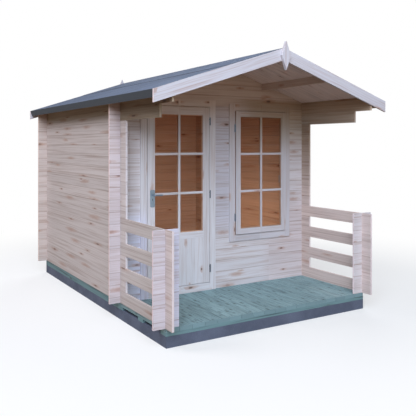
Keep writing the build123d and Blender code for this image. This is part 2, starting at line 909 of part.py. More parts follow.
def main():
    os.makedirs("parts", exist_ok=True)
    groups = (floor_pieces(), wall_pieces(), roof_pieces(), door_and_window_pieces())
    for group in groups:
        for name, pieces in group.items():
            solids = [solid for piece in pieces for solid in piece.solids()]
            shape = solids[0] if len(solids) == 1 else Compound(solids)
            export_step(shape, f"parts/{name}.step")


main()
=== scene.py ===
"""Dresses a garden log cabin with veranda: timber, felt, glass and ironwork, in metres."""
import math
import random

import bmesh
import bpy
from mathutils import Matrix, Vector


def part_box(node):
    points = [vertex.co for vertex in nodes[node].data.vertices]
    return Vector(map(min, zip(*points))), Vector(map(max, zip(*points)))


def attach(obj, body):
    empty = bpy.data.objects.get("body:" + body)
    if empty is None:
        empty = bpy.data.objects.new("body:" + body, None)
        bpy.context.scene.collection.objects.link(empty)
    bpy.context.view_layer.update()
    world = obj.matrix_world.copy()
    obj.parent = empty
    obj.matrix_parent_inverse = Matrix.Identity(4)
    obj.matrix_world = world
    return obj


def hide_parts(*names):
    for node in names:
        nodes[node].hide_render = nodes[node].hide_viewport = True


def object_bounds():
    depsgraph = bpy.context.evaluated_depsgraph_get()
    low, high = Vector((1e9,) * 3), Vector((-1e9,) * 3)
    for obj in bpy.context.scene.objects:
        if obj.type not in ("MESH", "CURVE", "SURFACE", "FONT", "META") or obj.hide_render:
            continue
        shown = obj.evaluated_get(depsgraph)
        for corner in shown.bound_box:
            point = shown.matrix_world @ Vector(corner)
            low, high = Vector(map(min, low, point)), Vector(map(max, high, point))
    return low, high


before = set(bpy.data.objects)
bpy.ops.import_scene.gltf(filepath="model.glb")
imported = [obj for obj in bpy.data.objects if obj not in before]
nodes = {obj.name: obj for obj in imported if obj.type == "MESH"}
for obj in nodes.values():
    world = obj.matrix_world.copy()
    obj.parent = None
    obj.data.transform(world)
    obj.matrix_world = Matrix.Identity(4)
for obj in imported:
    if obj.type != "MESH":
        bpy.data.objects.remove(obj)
cad_box = [list(corner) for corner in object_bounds()]
chance = random.Random(11)

# Sizes read from the frame
wall_low, wall_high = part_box("front_wall_logs")
side_low, side_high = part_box("right_wall_logs")
post_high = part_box("right_post_logs")[1]
rear_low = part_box("back_wall_logs")[0]
deck_low, deck_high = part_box("veranda_deck")
floor_low, floor_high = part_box("cabin_floor")
roof_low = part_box("right_roof_boards")[0]
leaf_low, leaf_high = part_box("door_leaf")
sash_low, sash_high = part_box("window_sash")
door_glass_low, door_glass_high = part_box("door_glass")
window_glass_low, window_glass_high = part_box("window_glass")
panel_low, panel_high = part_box("door_panel")
plate_low, plate_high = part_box("door_handle_plates")
fascia_low, fascia_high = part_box("eaves_fascias")
door_frame_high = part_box("door_frame")[1]
window_frame_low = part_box("window_frame")[0]
floor_level = deck_high[2]

# Sizes of the logs, the boards and the deck's screws
LOG_HEIGHT = 0.114
ROOF_PITCH = math.radians(18.2)
ROOF_SLOPE = math.tan(ROOF_PITCH)
ROOF_BOARD = 0.018
ROOF_BOARD_PITCH = 0.107
ROOF_V_JOINT = 0.003
BOARD_GAP = 0.0004
DECK_BOARD_COUNT = 18
DECK_GAP = 0.003
DECK_BOARD_PITCH = (deck_high[0] - deck_low[0] + DECK_GAP) / DECK_BOARD_COUNT
DECK_CHAMFER = 0.003
DECK_END_PLAY = 0.0025
DECK_SCREW_RADIUS = 0.0042
DECK_SCREW_SHARES = (0.22, 0.78)
DECK_SCREW_PLAY = 0.003
FLOOR_BOARD_PITCH = 0.0965
FLOOR_CHAMFER = 0.002
PANEL_BOARD_COUNT = 6
BAR_WIDTH = 0.024
BEAD_WIDTH = 0.009
BEAD_RECESS = 0.004
FRONT_WALL_JOINT = 0.63
NO_JOINT = 10.0
SIDE_LOG_STRETCH_SHARE = 0.55

# Keyholes and screws of the door's handle plates
KEYHOLE_RISE = 0.073
KEYHOLE_SINK = 0.0004
KEYHOLE_THICKNESS = 0.0007
KEYHOLE_ROUND_RADIUS = 0.0042
KEYHOLE_ROUND_RISE = 0.006
KEYHOLE_SLOT = [(-0.0026, -0.012), (0.0026, -0.012), (0.0018, 0.004), (-0.0018, 0.004)]
PLATE_SCREW_RADIUS = 0.004
PLATE_SCREW_INSET = 0.012

# Knots: the cell that holds one, and the half length and half width of its blush and of its heart
KNOT_CELL_LENGTH = 0.34
KNOT_CELL_WIDTH = 0.12
KNOT_BLUSH = (0.085, 0.021)
KNOT_HEART = (0.027, 0.011)

# Where each tint sets in and where it is full; most of these tints are painted shade or painted light
EAVES_RISE = (1.78, 2.12)
WALL_HEAD_RISE = (1.86, 1.97)
VERANDA_HEAD_RISE = (0.85, 1.85)
GABLE_HEAD_RISE = (2.15, 2.40)
CORNER_RUN = (0.0, 0.5)
CORNER_RISE = (1.45, 1.90)
CORNER_END = (2.17, 2.09)
RIGHT_FOOT_RUN = (0.50, 0.70)
RIGHT_FOOT_DROP = (1.20, 0.80)
LEFT_FOOT_START = (-1.12, -1.10)
LEFT_FOOT_END = (-0.82, -0.84)
LEFT_FOOT_DROP = (1.10, 0.80)
JOINT_EDGE = (0.005, 0.0015)

# Lengths by which a tint reaches past an edge or up a wall
STRIP_OVERLAP = 0.02
STRIP_RISE = 0.25
END_MARGIN = 0.001
ROOM_MARGIN = 0.0012
GLASS_MARGIN = 0.0005

# The photograph's camera
CAMERA_LENS = 50.63
CAMERA_SHIFT = -0.152
CAMERA_PLACE = (-3.295, wall_low[1] - 5.111, 1.644)
CAMERA_TURN = math.radians(-31.6)

# Finishes, as linear colours
PINE_PALE = (0.655, 0.622, 0.645)
PINE_STREAK = (0.48, 0.38, 0.35)
PINE_BLUSH = (0.48, 0.32, 0.26)
PINE_HEART = (0.13, 0.075, 0.055)
PINE_END = (0.95, 0.80, 0.80)
SIDE_PALE = (0.64, 0.575, 0.555)
SIDE_STREAK = (0.41, 0.32, 0.285)
SIDE_END = (0.72, 0.67, 0.69)
# The roof boards' pale is warmer than the walls' pine: painted warm shade under the roof
ROOF_SHADE_PALE = (0.75, 0.60, 0.545)
TRIM_PALE = (0.68, 0.665, 0.695)
TRIM_STREAK = (0.52, 0.44, 0.425)
SASH_PALE = (0.60, 0.578, 0.615)
WINDOW_FRAME_PALE = (0.57, 0.547, 0.585)
PANEL_STREAK = (0.59, 0.53, 0.53)
BARGE_PALE = (0.625, 0.61, 0.66)
BARGE_STREAK = (0.47, 0.37, 0.355)
# Most tints below paint light and shade by place: painted shade under the roof, painted light low on the
# walls
EAVES_SHADE_TINT = (0.90, 0.74, 0.60)
LEFT_EAVES_SHADE_TINT = (0.54, 0.49, 0.38)
RIGHT_EAVES_SHADE_TINT = (0.72, 0.67, 0.56)
FASCIA_SHADE_TINT = (0.50, 0.31, 0.165)
RETURN_LIGHT_TINT = (1.14, 1.03, 0.98)
RETURN_HEAD_SHADE_TINT = (0.53, 0.485, 0.39)
GABLE_HEAD_SHADE_TINT = (0.85, 0.83, 0.81)
CORNER_SHADE_TINT = (0.62, 0.55, 0.43)
STRIP_SHADE_TINT = (0.88, 0.90, 0.96)
RIGHT_FOOT_SHADE_TINT = (0.95, 0.895, 0.88)
LEFT_FOOT_LIGHT_TINT = (1.12, 1.22, 1.40)
FRAME_FOOT_LIGHT_TINT = (1.04, 1.06, 1.20)
ARM_TINT = (0.95, 0.89, 0.88)
BACK_ARM_TINT = (0.96, 0.868, 0.77)
POST_TINT = (0.91, 0.885, 0.91)
INNER_ARM_LIGHT_TINT = (1.05, 1.12, 1.28)
LEFT_RAIL_SHADE_TINT = (0.93, 0.93, 0.92)
RIGHT_RAIL_LIGHT_TINT = (1.15, 1.03, 0.97)
LEFT_RAIL_END_LIGHT_TINT = (1.03, 0.98, 0.96)
RIGHT_RAIL_END_LIGHT_TINT = (1.16, 1.08, 1.06)
WALL_HEAD_SHADE_TINT = (0.62, 0.57, 0.44)
JOINT_TINT = (0.78, 0.72, 0.69)
ROOM_WOOD_AND_SHADE_TINT = (0.72, 0.445, 0.295)
REVEAL_WOOD_AND_SHADE_TINT = (0.95, 0.58, 0.39)
INSIDE_TINT = (1.05, 1.38, 1.59)
TREATED_PALE = (0.258, 0.379, 0.394)
TREATED_STREAK = (0.066, 0.105, 0.112)
TREATED_BLUSH = (0.095, 0.14, 0.14)
TREATED_HEART = (0.03, 0.045, 0.045)
TREATED_END = (0.204, 0.311, 0.338)
BEARER_PALE = (0.172, 0.287, 0.304)
FLOOR_PALE = (0.56, 0.33, 0.19)
FELT_PALE = (0.138, 0.175, 0.255)
FELT_DARK = (0.110, 0.142, 0.208)
FELT_HEM = (0.058, 0.066, 0.078)
SLAB_PALE = (0.125, 0.146, 0.207)
SLAB_DARK = (0.092, 0.108, 0.156)
STEEL = (0.27, 0.35, 0.43)
STEEL_WORN = (0.18, 0.22, 0.27)
DARK_STEEL = (0.15, 0.19, 0.235)
DARK_STEEL_WORN = (0.09, 0.105, 0.13)
# A keyhole is a thin sheet in painted shade
KEYHOLE_SHADE = (0.012, 0.012, 0.014)
KEYHOLE_SHADE_PATCH = (0.02, 0.02, 0.022)
GLASS_TINT = (0.97, 0.99, 0.985)
GLASS_SHADE = (0.95, 0.97, 0.96)
STUDIO_BOUNCE = (0.20, 0.15, 0.11)
STUDIO_SEEN = (0.85, 0.85, 0.85)
SKY_LIGHT = (0.90, 0.95, 1.0)
SKY_SEEN = (1.0, 1.0, 1.0)


class Shader:
    """Adds nodes to one node tree and hands back their output sockets."""

    def __init__(self, tree):
        self.tree = tree

    def add(self, kind, **settings):
        node = self.tree.nodes.new(kind)
        for name, value in settings.items():
            setattr(node, name, value)
        return node

    def feed(self, socket, value):
        if isinstance(value, bpy.types.NodeSocket):
            self.tree.links.new(value, socket)
        elif isinstance(value, tuple) and socket.type == "RGBA":
            socket.default_value = (*value, 1.0)
        else:
            socket.default_value = value

    def math(self, operation, *values):
        node = self.add("ShaderNodeMath", operation=operation)
        for socket, value in zip(node.inputs, values):
            self.feed(socket, value)
        return node.outputs[0]

    def times(self, first, second):
        return self.math("MULTIPLY", first, second)

    def plus(self, first, second):
        return self.math("ADD", first, second)

    def minus(self, first, second):
        return self.math("SUBTRACT", first, second)

    def join(self, x, y, z=0.0):
        node = self.add("ShaderNodeCombineXYZ")
        for socket, value in zip(node.inputs, (x, y, z)):
            self.feed(socket, value)
        return node.outputs[0]

    def split(self, vector):
        node = self.add("ShaderNodeSeparateXYZ")
        self.feed(node.inputs[0], vector)
        return node.outputs

    def blend(self, factor, first, second, kind="MIX"):
        node = self.add("ShaderNodeMix", data_type="RGBA", blend_type=kind)
        self.feed(node.inputs[0], factor)
        self.feed(node.inputs[6], first)
        self.feed(node.inputs[7], second)
        return node.outputs[2]

    def shade(self, colour, level):
        return self.blend(1.0, colour, self.join(level, level, level), "MULTIPLY")

    def step(self, value, start, end, low=0.0, high=1.0):
        node = self.add("ShaderNodeMapRange", interpolation_type="SMOOTHSTEP")
        for socket, number in zip(node.inputs, (value, start, end, low, high)):
            self.feed(socket, number)
        return node.outputs[0]

    def noise(self, vector, scale=1.0, detail=2.0, roughness=0.5, distortion=0.0):
        node = self.add("ShaderNodeTexNoise", noise_dimensions="3D")
        self.feed(node.inputs["Vector"], vector)
        self.feed(node.inputs["Scale"], scale)
        self.feed(node.inputs["Detail"], detail)
        self.feed(node.inputs["Roughness"], roughness)
        self.feed(node.inputs["Distortion"], distortion)
        return node.outputs[0]

    def cells(self, vector):
        node = self.add("ShaderNodeTexVoronoi", voronoi_dimensions="2D", feature="F1")
        self.feed(node.inputs["Vector"], vector)
        self.feed(node.inputs["Scale"], 1.0)
        return node.outputs["Position"], node.outputs["Color"]

    def oval(self, along, across, half_length, half_width):
        """How far out a place is, in a share of the way to an oval's edge."""
        x = self.math("DIVIDE", along, half_length)
        y = self.math("DIVIDE", across, half_width)
        total = self.plus(self.times(x, x), self.times(y, y))
        return self.math("SQRT", total)

    def chance(self, number):
        node = self.add("ShaderNodeTexWhiteNoise", noise_dimensions="1D")
        self.feed(node.inputs["W"], number)
        return self.split(node.outputs["Color"])

    def place(self, group, **values):
        node = self.add("ShaderNodeGroup", node_tree=group)
        for name, value in values.items():
            self.feed(node.inputs[name.replace("_", " ")], value)
        return node.outputs


def new_group(name, inputs, outputs):
    """A shader node group with named sockets, and the builder that fills it."""
    tree = bpy.data.node_groups.new(name, "ShaderNodeTree")
    for label, kind in inputs:
        tree.interface.new_socket(label, in_out="INPUT", socket_type=f"NodeSocket{kind}")
    for label, kind in outputs:
        tree.interface.new_socket(label, in_out="OUTPUT", socket_type=f"NodeSocket{kind}")
    shader = Shader(tree)
    source = shader.add("NodeGroupInput").outputs
    sink = shader.add("NodeGroupOutput").inputs
    return tree, shader, source, sink


def softwood_group():
    """Figure of a planed softwood board: streaks that bend round knots, blush, dark hearts and tone."""
    tree, s, source, sink = new_group(
        "Softwood figure",
        [("Along", "Float"), ("Across", "Float"), ("Board", "Float"), ("Knot Share", "Float")],
        [("Streaks", "Float"), ("Blush", "Float"), ("Hearts", "Float"), ("Tone", "Float"),
         ("Relief", "Float")],
    )
    first, second, third = s.chance(source["Board"])
    u = s.math("MULTIPLY_ADD", first, 23.7, source["Along"])
    v = s.math("MULTIPLY_ADD", second, 5.3, source["Across"])

    def stretched(across, per_along, per_across, detail):
        """Noise that is drawn out along the board."""
        along = s.times(u, per_along)
        return s.noise(s.join(along, s.times(across, per_across), third), detail=detail)

    knot_u = s.math("DIVIDE", u, KNOT_CELL_LENGTH)
    knot_v = s.math("DIVIDE", v, KNOT_CELL_WIDTH)
    centre, cell = s.cells(s.join(knot_u, knot_v))
    centre_u, centre_v = s.split(centre)[:2]
    red, green, blue = s.split(cell)
    from_u = s.times(s.minus(knot_u, centre_u), KNOT_CELL_LENGTH)
    from_v = s.times(s.minus(knot_v, centre_v), KNOT_CELL_WIDTH)
    present = s.math("LESS_THAN", red, source["Knot Share"])
    size = s.step(green, 0.0, 1.0, 0.55, 1.25)
    ragged = stretched(v, 25.0, 90.0, 2.0)
    ragged = s.math("MULTIPLY_ADD", ragged, 1.1, -0.55)
    blush_reach = s.math("DIVIDE", s.oval(from_u, from_v, *KNOT_BLUSH), size)
    blush = s.step(s.plus(blush_reach, ragged), 1.3, 0.3)
    blush = s.times(blush, present)
    heart_reach = s.math("DIVIDE", s.oval(from_u, from_v, *KNOT_HEART), size)
    hearts = s.step(s.math("MULTIPLY_ADD", ragged, 0.5, heart_reach), 1.25, 0.35)
    has_heart = s.step(blue, 0.30, 0.95, 0.08, 0.9)
    hearts = s.times(s.times(hearts, has_heart), present)
    near = s.times(s.step(blush_reach, 2.0, 0.3), present)
    bent_v = s.minus(v, s.times(s.times(near, from_v), 0.6))
    drift = stretched(v, 1.1, 7.0, 1.0)
    grain_v = s.math("MULTIPLY_ADD", drift, 0.03, bent_v)
    broad = s.step(stretched(grain_v, 1.4, 40.0, 2.0), 0.46, 0.72)
    line = s.step(stretched(grain_v, 2.4, 120.0, 3.0), 0.48, 0.70)
    fibre = stretched(grain_v, 9.0, 420.0, 2.0)
    streak = s.math("MULTIPLY_ADD", line, 0.50, s.times(broad, 0.50))
    streak = s.math("MULTIPLY_ADD", s.minus(fibre, 0.45), 0.30, streak)
    s.feed(sink["Streaks"], s.math("MAXIMUM", s.math("MINIMUM", streak, 1.0), 0.0))
    s.feed(sink["Blush"], blush)
    s.feed(sink["Hearts"], hearts)
    s.feed(sink["Tone"], third)
    relief = s.math("MULTIPLY_ADD", line, -0.35, s.times(fibre, 0.5))
    s.feed(sink["Relief"], s.math("MULTIPLY_ADD", hearts, 0.6, relief))
    return tree


def ring_group():
    """Growth rings on the sawn ends of a stack of logs, as flat uneven arcs."""
    tree, s, source, sink = new_group(
        "End grain", [("Position", "Vector"), ("Board", "Float")], [("Rings", "Float")])
    first, second, third = s.chance(source["Board"])
    x, y, z = s.split(source["Position"])
    wobble = s.noise(s.join(s.times(x, 30.0), s.times(y, 30.0), s.times(z, 14.0)), detail=2.0)
    level = s.math("MULTIPLY_ADD", z, 95.0, s.times(first, 7.0))
    phase = s.math("MULTIPLY_ADD", wobble, 2.6, level)
    ring = s.math("MULTIPLY_ADD", s.math("SINE", s.times(phase, math.tau)), 0.5, 0.5)
    patch = s.noise(s.join(s.times(z, 21.0), second, third), detail=2.0)
    s.feed(sink["Rings"], s.times(s.math("POWER", ring, 2.0), s.step(patch, 0.35, 0.75)))
    return tree


def grit_group():
    """Fine grains and cloudy patches, for felt, cast concrete, steel and glass."""
    tree, s, source, sink = new_group(
        "Mineral grit", [("Position", "Vector"), ("Grain Size", "Float"), ("Patch Size", "Float")],
        [("Grains", "Float"), ("Patches", "Float")],
    )
    per_grain = s.math("DIVIDE", 1.0, source["Grain Size"])
    per_patch = s.math("DIVIDE", 1.0, source["Patch Size"])
    s.feed(sink["Grains"], s.noise(source["Position"], scale=per_grain, detail=1.0, roughness=0.7))
    s.feed(sink["Patches"], s.noise(source["Position"], scale=per_patch, detail=4.0, roughness=0.6))
    return tree


def tint_group():
    """A colour that takes on a tint where a mask says so; most uses paint shade or light by place."""
    tree, s, source, sink = new_group(
        "Tint by place", [("Colour", "Color"), ("Mask", "Float"), ("Tint", "Color")], [("Tinted", "Color")])
    tinted = s.blend(1.0, source["Colour"], source["Tint"], "MULTIPLY")
    s.feed(sink["Tinted"], s.blend(source["Mask"], source["Colour"], tinted))
    return tree


softwood = softwood_group()
end_rings = ring_group()
grit = grit_group()
tinting = tint_group()


def new_material(name):
    """An empty material with its Principled shader, and the builder that fills it."""
    material = bpy.data.materials.new(name)
    material.use_nodes = True
    shader = Shader(material.node_tree)
    surface = material.node_tree.nodes["Principled BSDF"]
    return material, shader, surface


def object_place(s):
    """Position and normal in the piece's own frame."""
    place = s.add("ShaderNodeTexCoord")
    return place.outputs["Object"], place.outputs["Normal"]


def bump(s, surface, height, strength, distance):
    """Relief on a surface."""
    node = s.add("ShaderNodeBump")
    node.inputs["Strength"].default_value = strength
    node.inputs["Distance"].default_value = distance
    s.feed(node.inputs["Height"], height)
    s.feed(surface.inputs["Normal"], node.outputs["Normal"])


def between(s, value, low, high):
    """1 where a value lies between two limits."""
    above = s.math("GREATER_THAN", value, low)
    below = s.math("LESS_THAN", value, high)
    return s.times(above, below)


def place_mask(name):
    """Turns a mask over position into a node group, built once, that each material can place."""
    def build(mask):
        tree, s, source, sink = new_group(name, [("Position", "Vector")], [("Mask", "Float")])
        s.feed(sink["Mask"], mask(s, source["Position"]))
        return tree
    return build


@place_mask("Painted shade under the eaves")
def eaves_shade_mask(s, position):
    """Rises to 1 towards the height of the eaves, where less of the sky is seen: painted shade, warmer and
    darker.
    """
    return s.step(s.split(position)[2], *EAVES_RISE)


@place_mask("Veranda side")
def veranda_side(s, position):
    """1 in front of the front wall."""
    return s.math("LESS_THAN", s.split(position)[1], wall_low[1])


@place_mask("Painted shade at the wall head")
def wall_head_shade(s, position):
    """Rises to 1 on the top courses behind the front wall, close under the eaves: painted shade."""
    y, z = s.split(position)[1:]
    return s.times(s.step(z, *WALL_HEAD_RISE), s.math("GREATER_THAN", y, wall_low[1]))


def log_joint(name, half_step):
    """Rises to 1 in the joints between the courses of a wall."""
    @place_mask(name)
    def mask(s, position):
        course = s.math("DIVIDE", s.minus(s.split(position)[2], floor_level), LOG_HEIGHT)
        share = s.math("FRACT", s.plus(course, half_step))
        from_joint = s.minus(0.5, s.math("ABSOLUTE", s.minus(share, 0.5)))
        return s.step(s.times(from_joint, LOG_HEIGHT), *JOINT_EDGE)
    return mask


@place_mask("Painted shade up the veranda ends")
def veranda_head_shade(s, position):
    """Rises to 1 up the ends of the walls in the veranda, where the roof shades them: painted shade."""
    height = s.step(s.split(position)[2], *VERANDA_HEAD_RISE)
    return s.times(height, s.place(veranda_side, Position=position)["Mask"])


@place_mask("Painted shade in the corner")
def corner_shade(s, position):
    """Rises to 1 towards the upper right corner of the front wall, up to the lowest gable board: painted
    shade under the roof.
    """
    x, _, z = s.split(position)
    height = s.times(s.step(z, *CORNER_RISE), s.step(z, *CORNER_END))
    return s.times(s.step(x, *CORNER_RUN), height)


@place_mask("Painted shade at the right foot of the front wall")
def right_foot_shade(s, position):
    """Rises to 1 low on the right of the front wall, which the photograph shows warmer: a warm painted
    shade.
    """
    x, _, z = s.split(position)
    return s.times(s.step(x, *RIGHT_FOOT_RUN), s.step(z, *RIGHT_FOOT_DROP))


@place_mask("Painted light at the left foot of the front wall")
def left_foot_light(s, position):
    """Rises to 1 low on the wall and the frame left of the door, which the photograph shows cooler: a cool
    painted light.
    """
    x, _, z = s.split(position)
    beside = s.times(s.step(x, *LEFT_FOOT_START), s.step(x, *LEFT_FOOT_END))
    return s.times(beside, s.step(z, *LEFT_FOOT_DROP))


@place_mask("Painted shade beside the window")
def window_strip_shade(s, position):
    """1 on the strip of wall between the door and the window, for a slight painted shade."""
    x, _, z = s.split(position)
    beside = between(s, x, door_frame_high[0] - STRIP_OVERLAP, window_frame_low[0] + STRIP_OVERLAP)
    return s.times(beside, s.step(z, window_frame_low[2], window_frame_low[2] + STRIP_RISE))


@place_mask("Painted shade at the gable head")
def gable_head_shade(s, position):
    """Rises to 1 towards the peak of a gable: painted shade under the roof."""
    return s.step(s.split(position)[2], *GABLE_HEAD_RISE)


def veranda_rail(name, side, front, back):
    """1 on the rails and spacers on one side of the veranda, between two depths."""
    @place_mask(name)
    def mask(s, position):
        x, y = s.split(position)[:2]
        on_side = s.math("GREATER_THAN", s.times(x, side), 0.0)
        return s.times(on_side, between(s, y, front, back))
    return mask


@place_mask("Log arms")
def log_arm(s, position):
    """1 on the parts of the cross logs that stand out beyond the side walls."""
    return s.math("GREATER_THAN", s.math("ABSOLUTE", s.split(position)[0]), side_high[0] - END_MARGIN)


@place_mask("Inner log arms")
def inner_arm(s, position):
    """1 on the parts of the cross logs that stand out on the inner side of the side walls."""
    return s.math("LESS_THAN", s.math("ABSOLUTE", s.split(position)[0]), side_low[0] + END_MARGIN)


def between_ends(name, low, high):
    """1 along a beam that runs from front to back, but not on its two ends."""
    @place_mask(name)
    def mask(s, position):
        return between(s, s.split(position)[1], low + END_MARGIN, high - END_MARGIN)
    return mask


@place_mask("Room side")
def room_side(s, position):
    """1 on the faces of the walls and the roof that look into the room."""
    x, y = s.split(position)[:2]
    inner_half = side_low[0] + ROOM_MARGIN
    across = between(s, x, -inner_half, inner_half)
    depth = between(s, y, wall_high[1] - ROOM_MARGIN, rear_low[1] + ROOM_MARGIN)
    return s.times(across, depth)


def inward_of(name, depth):
    """1 on the parts of a leaf or a sash from a depth inward."""
    @place_mask(name)
    def mask(s, position):
        return s.math("GREATER_THAN", s.split(position)[1], depth - GLASS_MARGIN)
    return mask


# Painted shade under the eaves, warmer and darker towards the top of the walls
PAINTED_EAVES_SHADE = (eaves_shade_mask, EAVES_SHADE_TINT)
# Inside the room the pine is warmer and carries painted shade, darker and browner
ROOM_WOOD_AND_SHADE = (room_side, ROOM_WOOD_AND_SHADE_TINT)
PAINTED_CORNER_SHADE = (corner_shade, CORNER_SHADE_TINT)
SIDE_JOINTS = (log_joint("Side log joints", 0.0), JOINT_TINT)
CROSS_JOINTS = (log_joint("Cross log joints", 0.5), JOINT_TINT)
# Right wall's ends in the veranda: dark joints, painted light low down and painted shade higher up
RETURN_JOINTS_LIGHT_AND_SHADE = (SIDE_JOINTS, (veranda_side, RETURN_LIGHT_TINT), (veranda_head_shade, RETURN_HEAD_SHADE_TINT))
# Painted shade on the left rails, painted light on the right rails and on the rail ends before the posts
RAIL_LIGHT_AND_SHADE = (
    (veranda_rail("Left rails", -1.0, post_high[1], wall_low[1]), LEFT_RAIL_SHADE_TINT),
    (veranda_rail("Right rails", 1.0, post_high[1], wall_low[1]), RIGHT_RAIL_LIGHT_TINT),
    (veranda_rail("Left rail ends", -1.0, cad_box[0][1], post_high[1]), LEFT_RAIL_END_LIGHT_TINT),
    (veranda_rail("Right rail ends", 1.0, cad_box[0][1], post_high[1]), RIGHT_RAIL_END_LIGHT_TINT),
)


def timber(name, run, palette, knot_share=0.5, tone=0.10, roughness=0.66, tints=(PAINTED_EAVES_SHADE,), end=PINE_END,
           **values):
    """A planed softwood finish: the values go to the run of its grain, and each of the tints is a mask and
    the colour multiplied in there: most paint shade or light by place, and the joint tints darken the
    joints."""
    pale, streak, blush, heart = palette
    material, s, surface = new_material(name)
    position, normal = object_place(s)
    grain = s.place(run, Position=position, Normal=normal, **values)
    board = grain["Board"]
    figure = s.place(
        softwood, Along=grain["Along"], Across=grain["Across"], Board=board, Knot_Share=knot_share)
    colour = s.blend(figure["Streaks"], pale, streak)
    colour = s.blend(s.times(figure["Blush"], 0.7), colour, blush)
    colour = s.blend(figure["Hearts"], colour, heart)
    if "End Face" in grain:
        rings = s.place(end_rings, Position=position, Board=board)["Rings"]
        end_colour = s.blend(s.times(rings, 0.34), end, blush)
        colour = s.blend(grain["End Face"], colour, end_colour)
    level = s.math("MULTIPLY_ADD", figure["Tone"], tone, 1.0 - tone / 2)
    colour = s.shade(colour, level)
    for mask, tint in tints:
        marked = s.place(mask, Position=position)["Mask"]
        colour = s.place(tinting, Colour=colour, Mask=marked, Tint=tint)["Tinted"]
    s.feed(surface.inputs["Base Color"], colour)
    worn = s.math("MULTIPLY_ADD", figure["Streaks"], 0.10, roughness)
    s.feed(surface.inputs["Roughness"], s.math("MULTIPLY_ADD", figure["Hearts"], -0.14, worn))
    surface.inputs["Specular IOR Level"].default_value = 0.3
    bump(s, surface, figure["Relief"], 0.35, 0.0006)
    return material


def face_mask(s, normal, axis):
    """1 on faces square to an axis."""
    part = s.split(normal)[axis]
    return s.math("GREATER_THAN", s.math("ABSOLUTE", part), 0.9)


def course_number(s, z, half_step, first_board):
    """Number of the log course at a height, different for each wall."""
    course = s.math("DIVIDE", s.minus(z, floor_level), LOG_HEIGHT)
    return s.plus(s.math("FLOOR", s.plus(course, half_step)), first_board)


def grain_run(name, *values, ends=False):
    """Turns the run of the grain in a kind of piece into a node group, built once, with these inputs."""
    labels = ["Along", "Across", "Board", "End Face"] if ends else ["Along", "Across", "Board"]

    def build(run):
        inputs = [("Position", "Vector"), ("Normal", "Vector"), *((value, "Float") for value in values)]
        tree, s, source, sink = new_group(name, inputs, [(label, "Float") for label in labels])
        results = run(s, source["Position"], source["Normal"], *(source[value] for value in values))
        for label, result in zip(labels, results, strict=True):
            s.feed(sink[label], result)
        return tree
    return build


@grain_run("Side log run", "First Board", ends=True)
def side_log_run(s, position, normal, first_board):
    """Grain of logs that run from front to back."""
    x, y, z = s.split(position)
    across = s.math("MULTIPLY_ADD", x, 1.7, z)
    along = s.times(y, SIDE_LOG_STRETCH_SHARE)
    return along, across, course_number(s, z, 0.0, first_board), face_mask(s, normal, 1)


@grain_run("Cross log run", "First Board", "Joint", ends=True)
def cross_log_run(s, position, normal, first_board, joint):
    """Grain of logs that run from side to side, with a butt joint where they are made of two lengths."""
    x, y, z = s.split(position)
    across = s.math("MULTIPLY_ADD", y, 1.7, z)
    length = s.times(s.math("GREATER_THAN", x, joint), 0.37)
    board = s.plus(course_number(s, z, 0.5, first_board), length)
    return x, across, board, face_mask(s, normal, 0)


@grain_run("Joinery run", "Middle", "Rail Half", "First Board")
def joinery_run(s, position, normal, middle, rail_half, first_board):
    """Grain of a leaf, sash or frame: upright at the sides, level between them."""
    x, y, z = s.split(position)
    from_middle = s.math("ABSOLUTE", s.minus(x, middle))
    level = between(s, from_middle, BAR_WIDTH / 2, rail_half)
    upright = s.minus(1.0, level)
    along = s.plus(s.times(level, x), s.times(upright, z))
    cross = s.plus(s.times(level, z), s.times(upright, x))
    across = s.math("MULTIPLY_ADD", y, 1.3, cross)
    part = s.plus(s.math("SIGN", s.minus(x, middle)), s.times(level, 5.0))
    part = s.plus(part, s.times(level, s.math("FLOOR", s.times(z, 1.7))))
    return along, across, s.plus(part, first_board)


@grain_run("Upright board run", "Pitch", "Start", "First Board")
def upright_board_run(s, position, normal, pitch, start, first_board):
    """Grain of upright boards set side by side."""
    x, y, z = s.split(position)
    board = s.math("FLOOR", s.math("DIVIDE", s.minus(x, start), pitch))
    across = s.math("MULTIPLY_ADD", y, 1.3, x)
    return s.times(z, 1.8), across, s.plus(board, first_board)


@grain_run("Roof slope run", "Pitch", "Start", "First Board")
def slope_run(s, position, normal, pitch, start, first_board):
    """Grain of boards that run down the slope of the roof, side by side along the ridge."""
    x, y = s.split(position)[:2]
    board = s.math("FLOOR", s.math("DIVIDE", s.minus(y, start), pitch))
    hand = s.times(s.math("SIGN", x), 40.0)
    along = s.math("DIVIDE", s.math("ABSOLUTE", x), math.cos(ROOF_PITCH))
    return along, y, s.plus(s.plus(board, hand), first_board)


@grain_run("Bargeboard run", "First Board", ends=True)
def barge_run(s, position, normal, first_board):
    """Grain of a bargeboard, along the slope."""
    x, y, z = s.split(position)
    run = s.math("ABSOLUTE", x)
    along = s.math("DIVIDE", run, math.cos(ROOF_PITCH))
    drop = s.times(s.math("MULTIPLY_ADD", run, ROOF_SLOPE, z), math.cos(ROOF_PITCH))
    board = s.plus(s.math("SIGN", x), s.math("SIGN", y))
    across = s.plus(drop, y)
    return along, across, s.plus(board, first_board), face_mask(s, normal, 0)


@grain_run("Finial run", "First Board")
def finial_run(s, position, normal, first_board):
    """Upright grain of the finials."""
    x, y, z = s.split(position)
    return z, s.plus(x, y), s.plus(s.math("SIGN", y), first_board)


@grain_run("Deck run", "Pitch", "Start", "First Board", "Finer", ends=True)
def deck_run(s, position, normal, pitch, start, first_board, finer):
    """Grain of boards that run from front to back, side by side across the cabin."""
    x, y, z = s.split(position)
    board = s.math("FLOOR", s.math("DIVIDE", s.minus(x, start), pitch))
    along = s.times(y, s.times(finer, 1.4))
    across = s.times(s.math("MULTIPLY_ADD", z, 1.4, x), finer)
    return along, across, s.plus(board, first_board), face_mask(s, normal, 1)


